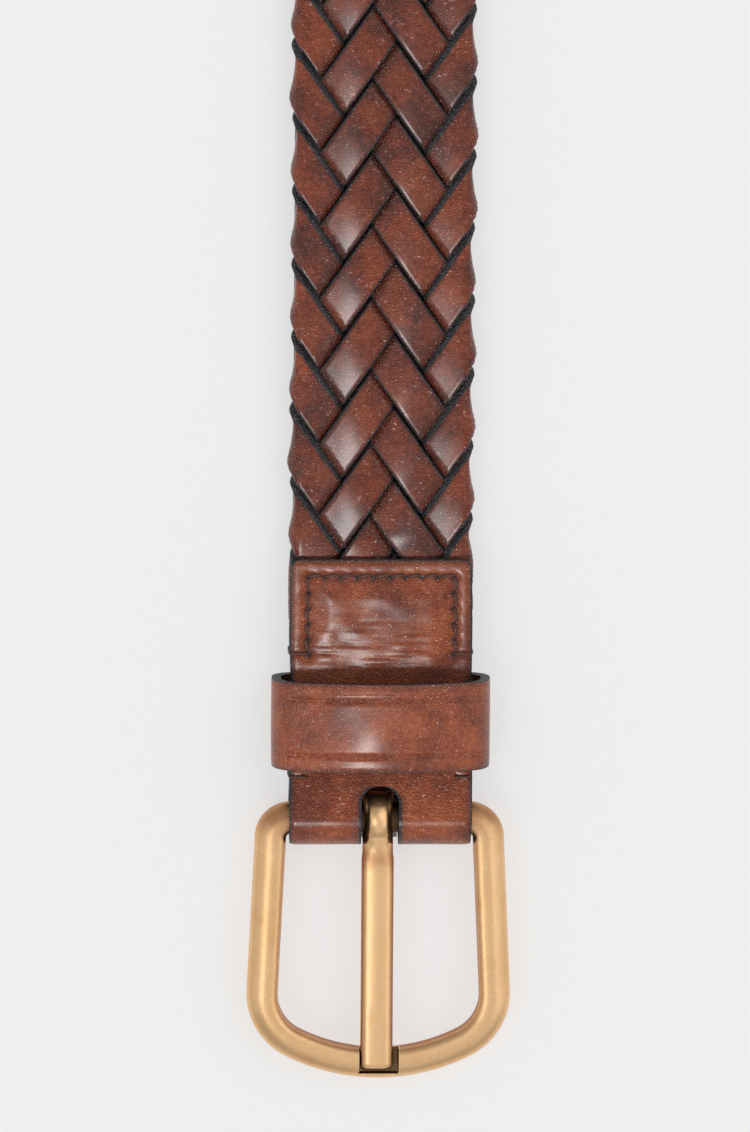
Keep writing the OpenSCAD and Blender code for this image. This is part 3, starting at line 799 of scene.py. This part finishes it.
def tab_line():
    """The tab leather's middle line as (y from the bar, z, run), from the front leaf's end round the bar to the
    back leaf's end. The run is the distance along it, 0 at the foremost point of the fold."""
    r = FOLD_R
    level = FRONT_Z + LEAF_T / 2
    to_bar = np.array([SLOPE_END, level - BAR_Z])
    reach = np.hypot(*to_bar)
    touch = math.atan2(to_bar[1], to_bar[0]) + math.acos(r / reach)
    points = [(y, level) for y in np.linspace(TAB_L, SLOPE_END + 1.5, 150)]
    a, b = np.array([SLOPE_END + 1.5, level]), np.array([r * math.cos(touch), BAR_Z + r * math.sin(touch)])
    bend = np.array([SLOPE_END, level])
    for t in np.linspace(0, 1, 34)[1:-1]:
        points.append(tuple((1 - t) ** 2 * a + 2 * t * (1 - t) * bend + t * t * b))
    points += [(r * math.cos(t), BAR_Z + r * math.sin(t)) for t in np.linspace(touch, 1.5 * math.pi, 44)]
    points += [(y, BAR_Z - r) for y in np.linspace(0, TAB_L, 132)[1:]]
    line = np.array(points)
    run = run_along(line)
    fold = front_row(line)
    ends = [np.interp(-SLOT_END, -line[:fold, 0], run[:fold]),
            np.interp(BACK_SLOT_END, line[fold:, 0], run[fold:])]
    extra = [e + sign * d for e, sign in zip(ends, (1, -1)) for d in (0.0, 0.004, 0.03, 0.08, 0.15, 0.25, 0.4, 0.6)]
    fine = np.unique(np.concatenate([run, extra]))
    line = np.stack([np.interp(fine, run, line[:, 0]), np.interp(fine, run, line[:, 1])], -1)
    return line, fine - fine[front_row(line)]


def tab_relief(y, x, run):
    """Height of the tab's surface over its plain form: soft unevenness, fine wrinkles, and grooves at the seams."""
    on_front = run < 0
    inside = np.minimum(smooth(SEAM_X - np.abs(x), 0.2, 5), smooth(SEAM_TOP - y, 0.2, 5))
    soft = 0.17 * noise_2d(x / 9 + 3, y / 6.5, 21) + 0.07 * noise_2d(x / 4, y / 2.6 + 9, 22)
    ridges = 0.085 * noise_2d(x / 6 + 2, y / 0.8, 23) * bump(y, 33.0, 5.0)
    puff = 0.35 * inside * smooth(y, 24, 34)
    uneven = (soft + ridges) * (0.3 + 0.7 * smooth(y, 4, 12)) * (0.35 + 0.65 * inside)
    height = np.where(on_front, uneven + puff, 0.25 * soft * inside)
    groove = np.zeros_like(y)
    along_side = (y > SEAM_LOW - 0.4) & (y < SEAM_TOP + 0.4)
    groove += np.where(along_side, bump(np.abs(x), SEAM_X, 0.55), 0)
    groove = np.maximum(groove, np.where(np.abs(x) < SEAM_X + 0.4, bump(y, SEAM_TOP, 0.55), 0))
    side = np.where(np.abs(x) > SEAM_X - 0.3, bump(y, SEAM_LOW, 0.5) + bump(y, TACK_Y, 0.5), 0)
    groove = np.maximum(groove, side)
    height -= 0.32 * groove
    edge_roll = smooth(np.abs(x), TAB_W / 2 - 1.1, TAB_W / 2) + smooth(y, TAB_L - 1.1, TAB_L)
    height -= 0.16 * np.clip(edge_roll, 0, 1)
    return height


def stitch_holes(points, count_list):
    """Hole places along a chain of runs."""
    holes = []
    for (a, b), count in zip(zip(points[:-1], points[1:]), count_list):
        for t in np.arange(count) / count:
            holes.append(np.array(a) + (np.array(b) - np.array(a)) * t)
    holes.append(np.array(points[-1]))
    return np.array(holes)


TAB_HOLES = stitch_holes(
    [(-SEAM_X, SEAM_LOW), (-SEAM_X, SEAM_TOP), (SEAM_X, SEAM_TOP), (SEAM_X, SEAM_LOW)], (5, 9, 5))


def hole_shade(x, y, holes, r=0.5):
    """1 in each hole, falling smoothly to 0 over a radius of about r."""
    shade = np.zeros_like(x)
    for hx, hy in holes:
        shade = np.maximum(shade, np.exp(-((x - hx) ** 2 + (y - hy) ** 2) / r**2))
    return shade


def build_tab():
    line, run = tab_line()
    outward = normals(np.gradient(line, axis=0))
    y0 = line[:, 0]
    end = np.clip(y0 - (TAB_L - TAB_CORNER), 0, TAB_CORNER)
    outer = TAB_W / 2 - (TAB_CORNER - np.sqrt(np.clip(TAB_CORNER**2 - end**2, 0, None)))
    slot_end = np.where(run < 0, SLOT_END, BACK_SLOT_END)
    slot_share = np.clip((slot_end - y0) / SLOT_ROUND, 0, 1)
    slot = SLOT_W / 2 * np.sqrt(np.clip(1 - (1 - slot_share) ** 2, 0, 1))
    slot = np.where(y0 > slot_end, 0.0, slot)
    share = np.linspace(0, 1, 56) ** 0.92
    patches, extras = [], []
    for sign in (-1, 1):
        x = sign * (slot[:, None] * (1 - share)[None] + outer[:, None] * share[None])
        y = np.repeat(y0[:, None], len(share), 1)
        r = np.repeat(run[:, None], len(share), 1)
        height = tab_relief(y, x, r)
        inward = TAB_HOLES * (1 - 0.42 / np.array([SEAM_X, SEAM_TOP]))
        holes = hole_shade(x, y, inward, 0.95)
        tacks = hole_shade(x, y, [(s * SEAM_X, h) for s in (-1, 1) for h in (SEAM_LOW, TACK_Y)])
        # Stitch and tack holes: the leather dips there and is painted near black as painted shade
        dark = np.maximum(holes, tacks)
        height = height - 0.40 * dark
        py = line[:, 0][:, None] + outward[:, 0][:, None] * height
        pz = line[:, 1][:, None] + outward[:, 1][:, None] * height
        wavy_edge = 0.18 * value_noise(y / 7.0 + 5 * sign, 61) * share[None] * (y < 40)
        grid = np.stack([x * (1 + 0.004 * np.sin(y / 5.0)) + wavy_edge, BAR_Y + py, pz], -1)
        border = np.minimum(np.abs(np.abs(x) - outer[:, None]), np.abs(TAB_L - y))
        slot_gap = np.where(slot[:, None] > 0.05, np.abs(x) - slot[:, None], 9.0)
        border = np.minimum(border, np.where(y < SLOT_END + 0.4, slot_gap - 0.12, 9.0))
        if sign < 0:
            grid, border, dark = grid[:, ::-1], border[:, ::-1], dark[:, ::-1]
        patches.append(grid)
        # The edge paint and the darkening also fill the holes as painted shade; the darkening by the cut edges is
        # burnishing
        extras.append({
            "edge": np.maximum(smooth(border, 0.60, 0.28), 0.95 * smooth(dark, 0.35, 0.75)),
            "burnish_and_shade": np.clip(0.8 * smooth(border, 1.7, 0.3) + 1.6 * dark, 0, 1.7),
        })
    obj = leather_sheet("tab_leather_strip", patches, extras, LEAF_T, [tab_leather_look, edge_paint], 0.32)
    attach(obj, "strap")
    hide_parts("tab_leather")


build_tab()

# ---- Thread ----------------------------------------------------------------------------------


def add_stitch(verts, faces, path, radius, twist_start):
    """A short length of two-ply thread along a list of points."""
    path = np.asarray(path, float)
    tangent = np.gradient(path, axis=0)
    tangent /= np.linalg.norm(tangent, axis=1)[:, None]
    ref = np.array([0.0, 0.0, 1.0]) if abs(tangent[len(path) // 2][2]) < 0.8 else np.array([0.0, 1.0, 0.0])
    side = np.cross(tangent, ref)
    side /= np.linalg.norm(side, axis=1)[:, None]
    up = np.cross(side, tangent)
    sides = 10
    run = run_along(path)
    base = len(verts)
    for i, p in enumerate(path):
        for j in range(sides):
            a = 2 * math.pi * j / sides
            r = radius * (1 + 0.16 * math.cos(2 * (a - twist_start - run[i] * 2.6)))
            verts.append(p + side[i] * r * math.cos(a) * 1.1 + up[i] * r * math.sin(a) * 0.9)
    faces += [[k + base for k in face] for face in tube_faces(len(path), sides)]


STITCH_RISE, STITCH_SINK, STITCH_SLANT = 0.24, 0.55, 0.42
LONGEST_STITCH = 6.0


def stitch_path(a, b, steps=11):
    """From hole a to hole b over a flat surface at height 0, with ends that dive into the leather."""
    a, b = np.array(a, float), np.array(b, float)
    d = (b - a) / np.linalg.norm(b - a)
    cross = np.array([-d[1], d[0]])
    points = []
    for t in np.linspace(0, 1, steps):
        p = a + (b - a) * (0.11 + 0.78 * t) + cross * STITCH_SLANT * (t - 0.5)
        h = STITCH_RISE * math.sin(math.pi * t) ** 0.6 - STITCH_SINK * (1 - math.sin(math.pi * t) ** 0.35)
        points.append((p[0], p[1], h))
    return points


def build_seam(name, replaced, holes, origin_y, faces_z, tacks=(), radius=0.33):
    """Stitches from hole to hole on each face (height, way it looks), and tacks (x, y, low, high, edge of the
    leather) that go round the edge."""
    verts, faces = [], []
    turn = 0.0
    for top, sense in faces_z:
        for a, b in zip(holes[:-1], holes[1:]):
            if np.linalg.norm(b - a) > LONGEST_STITCH:
                continue
            turn += 0.8
            path = stitch_path((a[0], a[1] + origin_y), (b[0], b[1] + origin_y))
            add_stitch(verts, faces, [(x, y, top + sense * h) for x, y, h in path], radius, turn)
    for hx, hy, low, high, out in tacks:
        sign = 1 if hx > 0 else -1
        loop = [(hx, high - 0.5), (hx + sign * 0.25, high + 0.08), (sign * (out - 0.6), high + 0.10),
                (sign * (out + 0.05), high - 0.35), (sign * (out + 0.12), (low + high) / 2),
                (sign * (out + 0.05), low + 0.35), (sign * (out - 0.6), low - 0.10),
                (hx + sign * 0.25, low - 0.08), (hx, low + 0.5)]
        fine = []
        for (x0, z0), (x1, z1) in zip(loop[:-1], loop[1:]):
            for t in np.linspace(0, 1, 5)[:-1]:
                fine.append((x0 + (x1 - x0) * t, hy + origin_y, z0 + (z1 - z0) * t))
        fine.append((loop[-1][0], hy + origin_y, loop[-1][1]))
        add_stitch(verts, faces, fine, radius, hy)
    obj = make_object(name, verts, faces, [thread_material])
    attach(obj, "strap")
    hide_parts(replaced)


TAB_TOP = FRONT_Z + LEAF_T
SLOPE = 0.286
TACK_TOP = TAB_TOP + (SLOPE_END - TACK_Y) * SLOPE
build_seam("tab_seam_thread", "tab_stitching", TAB_HOLES, BAR_Y, [(TAB_TOP - 0.30, 1), (0.20, -1)],
           [(s * SEAM_X, SEAM_LOW, 0.2, TAB_TOP - 0.15, TAB_W / 2) for s in (-1, 1)])
build_seam("tab_tack_thread", "tab_tacks", np.zeros((1, 2)), BAR_Y, [],
           [(s * SEAM_X, TACK_Y, 0.2, TACK_TOP - 0.15, TAB_W / 2) for s in (-1, 1)])

# ---- Keeper ----------------------------------------------------------------------------------

keeper_low, keeper_high = box_mm("keeper_band")
KEEPER_T = 1.8


def build_keeper():
    w = (keeper_high[0] - keeper_low[0]) / 2 - KEEPER_T / 2
    low, high = keeper_low[2] + KEEPER_T / 2, keeper_high[2] - KEEPER_T / 2
    r_top, r_low, crown = 4.6, 3.3, 2.1
    ring = []

    def arc(cx, cz, r, a, b, count):
        for t in np.radians(np.linspace(a, b, count)):
            ring.append((cx + r * math.cos(t), cz + r * math.sin(t)))

    for x in np.linspace(0, w - r_low, 24):
        ring.append((x, low))
    arc(w - r_low, low + r_low, r_low, -90, 0, 14)
    side_top = high - crown - r_top
    for z in np.linspace(low + r_low, side_top, 8)[1:-1]:
        ring.append((w, z))
    arc(w - r_top, side_top, r_top, 0, 82, 20)
    x_join, z_join = ring[-1]
    for x in np.linspace(x_join, 0, 44)[1:]:
        t = x / x_join
        ring.append((x, z_join + (high - z_join) * (1 - t**2.0)))
    right = np.array(ring)
    left = right[1:-1][::-1].copy()
    left[:, 0] *= -1
    ring = np.concatenate([right, left])
    normal = normals(np.roll(ring, -1, 0) - np.roll(ring, 1, 0))
    run = run_along(ring)
    length = keeper_high[1] - keeper_low[1]
    y = np.linspace(0, length, 100)
    yy, rr = np.meshgrid(y, run)
    edge_y = np.minimum(yy, length - yy)
    deep = smooth(np.abs(ring[:, 0]), w - 1.5, w - 5)[:, None]
    crease = (bump(edge_y, 2.7, 0.24) + 0.9 * bump(edge_y, 3.5, 0.24)) * (0.25 + 0.75 * deep)
    beside = bump(edge_y, 3.1, 0.16) + bump(edge_y, 2.3, 0.25)
    rim = smooth(edge_y, 1.4, 0.0)
    height = -0.38 * crease + 0.05 * beside - 0.22 * rim**2 + 0.10 * noise_2d(yy / 7, rr / 8, 31)
    height += 0.10 * np.sin(math.pi * yy / length)
    top = smooth(ring[:, 1], low + 4, high - 2)[:, None]
    height *= 0.3 + 0.7 * top
    x = ring[:, 0][:, None] + normal[:, 0][:, None] * height
    z = ring[:, 1][:, None] + normal[:, 1][:, None] * height
    grid = np.stack([x, keeper_low[1] + yy, z], -1)
    # Burnishing along both edges, and painted shade in the creases
    extra = {
        "edge": smooth(edge_y, 0.32, 0.10),
        "burnish_and_shade": np.clip(0.8 * smooth(edge_y, 1.5, 0.2) + 1.5 * crease, 0, 1.5),
    }
    obj = leather_sheet("keeper_leather_band", [grid], [extra], KEEPER_T, [keeper_leather_look, edge_paint], 0.38,
                        close=True)
    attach(obj, "keeper")
    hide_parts("keeper_band")


build_keeper()

# ---- Tip -------------------------------------------------------------------------------------

TIP_W = tip_high[0] - tip_low[0]
TIP_L = tip_high[1] - tip_low[1]
POINT_L = 22.0
POINT_POWER = 1.7
TIP_INSET = 3.1


def tip_half_width(y, w, length):
    """Half width of the tip's outline at a distance y from its start."""
    t = np.clip((y - (TIP_L - POINT_L)) / length, 0, 1)
    return w * np.clip(1 - t**POINT_POWER, 0, 1) ** (1 / POINT_POWER)


def tip_chain():
    """Stitching holes round the tip's outline and across its start."""
    w, reach = TIP_W / 2 - TIP_INSET, POINT_L - TIP_INSET
    right = [np.array([w, y]) for y in np.linspace(TIP_INSET, TIP_L - POINT_L, 19)]
    fine_t = np.sin(np.linspace(0, math.pi / 2, 400))
    curve = np.stack([w * (1 - fine_t**POINT_POWER) ** (1 / POINT_POWER), TIP_L - POINT_L + reach * fine_t], -1)
    run = run_along(curve)
    count = int(round(run[-1] / 3.2))
    bend = [np.array([np.interp(s, run, curve[:, 0]), np.interp(s, run, curve[:, 1])])
            for s in np.linspace(0, run[-1], count + 1)[1:]]
    half = right + bend
    left = [p * np.array([-1, 1]) for p in half[:-1][::-1]]
    across = [np.array([x, TIP_INSET]) for x in np.linspace(-w, w, 10)[1:]]
    return np.array(half + left + across)


TIP_HOLES = tip_chain()


def build_tip_leaf(name, node, sense):
    low, high = box_mm(node)
    mid = (low[2] + high[2]) / 2
    thick = high[2] - low[2]
    y = np.concatenate([np.linspace(0, 2, 8)[:-1], np.linspace(2, TIP_L - POINT_L, 120)[:-1],
                        TIP_L - POINT_L + POINT_L * np.sin(np.linspace(0, math.pi / 2, 60))])
    w = tip_half_width(y, TIP_W / 2, POINT_L)
    start = TAB_CORNER - np.sqrt(np.clip(TAB_CORNER**2 - np.clip(TAB_CORNER - y, 0, TAB_CORNER) ** 2, 0, None))
    w = np.maximum(w - start, 0.02)
    share = np.linspace(-1, 1, 79)
    x = w[:, None] * share[None]
    yy = np.repeat(y[:, None], len(share), 1)
    gap = np.minimum(w[:, None] * (1 - np.abs(share))[None], yy)
    gap = np.minimum(gap, TIP_L - yy)
    seam = bump(gap, TIP_INSET, 0.55) * (yy > TIP_INSET - 0.5)
    holes = hole_shade(x, yy, TIP_HOLES)
    inside = smooth(gap, TIP_INSET, TIP_INSET + 4.5)
    height = 0.30 * inside - 0.22 * seam - 0.15 * holes - 0.12 * smooth(gap, 1.0, 0.0)
    height += inside * (0.10 * noise_2d(x / 8, yy / 7, 41) + 0.05 * noise_2d(x / 3, yy / 3.4, 42))
    grid = np.stack([x, tip_low[1] + yy, mid + sense * height], -1)
    if sense < 0:
        grid = grid[:, ::-1]
        gap, holes = gap[:, ::-1], holes[:, ::-1]
    # Burnishing along the edges, and painted shade in the stitch holes
    extra = {
        "edge": smooth(gap, 0.28, 0.08),
        "burnish_and_shade": np.clip(0.75 * smooth(gap, 1.5, 0.2) + 1.4 * holes, 0, 1.6),
    }
    obj = leather_sheet(name, [grid], [extra], thick - 0.06, [tip_leather_look, edge_paint], 0.25)
    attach(obj, "strap")
    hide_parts(node)


build_tip_leaf("tip_front_leather", "tip_front", 1)
build_tip_leaf("tip_back_leather", "tip_back", -1)
build_seam("tip_seam_thread", "tip_stitching", TIP_HOLES, tip_low[1],
           [(tip_high[2] - 0.16, 1), (box_mm("tip_back")[0][2] + 0.16, -1)], radius=0.27)

# ---- CAD nodes that stay ---------------------------------------------------------------------

core_look = painted_edge("core_leather")
for node, look in (("tab_core", core_look), ("tip_core", core_look), ("keeper_thread", thread_material)):
    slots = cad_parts[node].data.materials
    slots.clear()
    slots.append(look)

# ---- Stage, light and camera -----------------------------------------------------------------

LOOK_AT = Vector((-1.2 * MM, (BAR_Y + 49.6) * MM, 5 * MM))
CAMERA_TILT = math.radians(11)
CAMERA_SIDE = math.radians(-2)
CAMERA_ROLL = math.radians(0.4)
CAMERA_DISTANCE = 2.0
PICTURE_H = 219.0 * MM


def build_camera():
    data = bpy.data.cameras.new("camera")
    data.sensor_width = 36
    data.lens = 36 * CAMERA_DISTANCE / PICTURE_H
    data.clip_end = 20
    obj = bpy.data.objects.new("camera", data)
    back = Vector((math.sin(CAMERA_SIDE), math.sin(CAMERA_TILT), math.cos(CAMERA_TILT))).normalized()
    obj.location = LOOK_AT + back * CAMERA_DISTANCE
    right = Vector((0, 1, 0)).cross(back).normalized()
    up = back.cross(right)
    turn = Matrix.Rotation(CAMERA_ROLL, 3, back)
    rotation = turn @ Matrix((right, up, back)).transposed()
    obj.rotation_euler = rotation.to_euler()
    bpy.context.scene.collection.objects.link(obj)
    bpy.context.scene.camera = obj


def area_light(name, place, size, energy, size_y=None, only=()):
    """A lamp at place (x, distance along the belt from the bar, z), in metres, that points at the buckle end. It
    lights everything, or only some pieces."""
    data = bpy.data.lights.new(name, "AREA")
    data.energy = energy
    data.size = size
    if size_y:
        data.shape = "RECTANGLE"
        data.size_y = size_y
    obj = bpy.data.objects.new(name, data)
    obj.location = (place[0], BAR_Y * MM + place[1], place[2])
    target = Vector((0, BAR_Y * MM + 0.05, 0))
    obj.rotation_euler = (target - obj.location).to_track_quat("-Z", "Y").to_euler()
    bpy.context.scene.collection.objects.link(obj)
    if only:
        lit = bpy.data.collections.new(name)
        for piece in only:
            lit.objects.link(piece)
        obj.light_linking.receiver_collection = lit


# The floor gives off some light, but not where the belt covers it, or it would shine through pinholes in the plait
FLOOR_GLOW = 0.55
COVER_X, COVER_START, COVER_END = 17.0, BAR_Y + 8.0, cad_box[1][1] / MM - 26.0
SLOT_COVER_X, SLOT_COVER_START = 3.6, BAR_Y - 5.3


def build_floor():
    n = Nodes("paper")
    at = n.coords()
    fibre = n.noise(at, 0.5, 3)
    n.to(n.ramp(fibre, [(0.3, (0.50, 0.50, 0.50)), (0.7, (0.52, 0.52, 0.52))]), "Base Color")
    n.shader.inputs["Roughness"].default_value = 0.95
    n.shader.inputs["Emission Color"].default_value = (1, 1, 1, 1)
    place = n.add("ShaderNodeSeparateXYZ")
    n.link(at[0], at[1], place, "Vector")
    aside = n.math("ABSOLUTE", (place, "X"))

    def outside(half_width, start):
        before = n.math("LESS_THAN", (place, "Y"), float(start))
        return n.math("MAXIMUM", n.math("GREATER_THAN", aside, half_width), before)

    off_belt = n.math("MINIMUM", outside(COVER_X, COVER_START), outside(SLOT_COVER_X, SLOT_COVER_START))
    past_tip = n.math("GREATER_THAN", (place, "Y"), float(COVER_END))
    n.to(n.math("MULTIPLY", n.math("MAXIMUM", off_belt, past_tip), FLOOR_GLOW), "Emission Strength")
    bpy.ops.mesh.primitive_plane_add(size=8, location=(0, 0, cad_box[0][2] - 0.0006))
    floor = bpy.context.object
    floor.name = "paper_floor"
    floor.data.materials.append(n.material)
    return floor


def build_stage():
    floor = build_floor()
    world = bpy.data.worlds.new("studio")
    world.use_nodes = True
    background = world.node_tree.nodes["Background"]
    background.inputs["Color"].default_value = (1, 1, 1, 1)
    background.inputs["Strength"].default_value = 0.48
    bpy.context.scene.world = world
    bpy.context.scene.view_settings.view_transform = "Standard"
    meshes = [obj for obj in bpy.context.scene.objects if obj.type == "MESH"]
    metal = [obj for obj in meshes if "brass" in obj.name]
    leathers = [obj for obj in meshes if obj not in metal and obj is not floor]
    area_light("leather_key", (-0.10, -0.36, 1.14), 0.16, 7.8, size_y=0.26, only=leathers)
    area_light("metal_soft", (0.25, -0.45, 1.2), 2.2, 4.2, only=metal)
    area_light("metal_strip", (-0.13, -0.20, 1.17), 0.10, 0.04, size_y=0.3, only=metal)
    area_light("metal_left", (-1.3, -0.1, 0.75), 1.3, 1.3, only=metal)
    area_light("metal_right", (1.3, -0.1, 0.75), 1.3, 2.2, only=metal)
    area_light("side", (-0.60, -0.25, 1.15), 0.6, 1.2)
    area_light("fill", (0.75, 0.55, 1.2), 1.2, 2.4)


build_stage()
build_camera()
